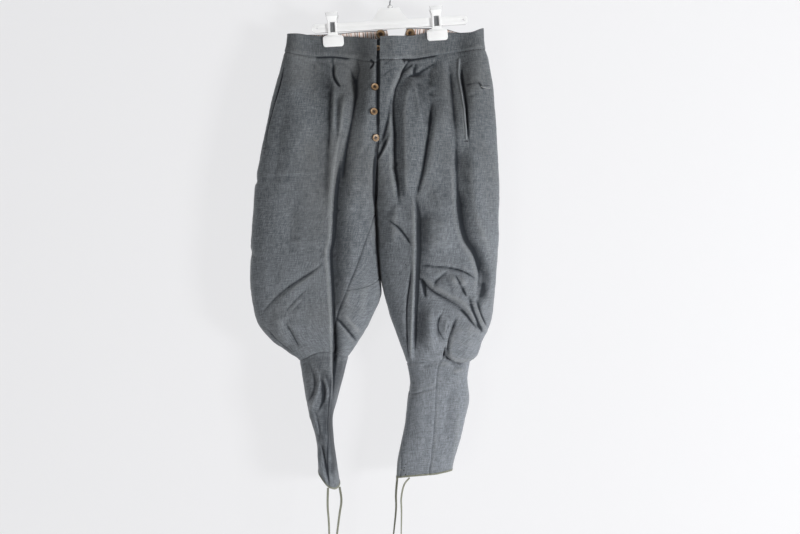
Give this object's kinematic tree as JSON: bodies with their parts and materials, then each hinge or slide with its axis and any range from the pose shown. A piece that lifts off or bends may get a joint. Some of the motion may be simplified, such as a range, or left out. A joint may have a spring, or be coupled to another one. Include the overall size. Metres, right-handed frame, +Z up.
{
  "type": "puffed trousers on a clip hanger",
  "caption": "Old buttoned trousers, puffed over the thigh and narrow at the calf, with tie ends at the hems, hanging from a clip hanger.",
  "frame": {"origin": "the hang point: the top of the hook's inner arch, where it rests on a rod", "axes": "+X to the wearer's left, +Y to the back, +Z up; the front faces -Y"},
  "size_m": [0.497, 0.1229, 1.1351],
  "materials": {
    "cloth": "plain-woven grey cotton or linen, matt",
    "facing": "striped shirting cotton, matt",
    "tape": "woven grey-green tape, matt",
    "button": "worn brown horn-like button",
    "plastic": "white moulded plastic, satin",
    "steel": "bright steel wire and strip"
  },
  "bodies": {
    "root": {"waistband_front_right": "cloth", "waistband_back_right": "cloth", "front_right": "cloth", "back_right": "cloth", "calf_right_front": "cloth", "calf_right_back": "cloth", "waistband_front_left": "cloth", "waistband_back_left": "cloth", "front_left": "cloth", "back_left": "cloth", "calf_left_front": "cloth", "calf_left_back": "cloth", "knee_left_front": "cloth", "crotch_gusset": "cloth", "facing_back_right": "facing", "facing_back_left": "facing", "hem_tape_right": "tape", "hem_tape_left": "tape", "fly_stand": "cloth", "pocket_edge_right": "cloth", "pocket_edge_left": "cloth", "fly_button_1": "button", "fly_button_2": "button", "fly_button_3": "button", "waist_button": "button", "brace_button_1": "button", "brace_button_2": "button", "tie_right_outer": "tape", "tie_right_inner": "tape", "tie_left_inner": "tape", "tie_left_outer": "tape", "hanger_bar": "plastic", "hanger_collar": "plastic", "hanger_hook": "steel", "clip_front_right": "plastic", "clip_back_right": "plastic", "clip_spring_right": "steel", "clip_front_left": "plastic", "clip_back_left": "plastic", "clip_spring_left": "steel"}
  },
  "joints": []
}
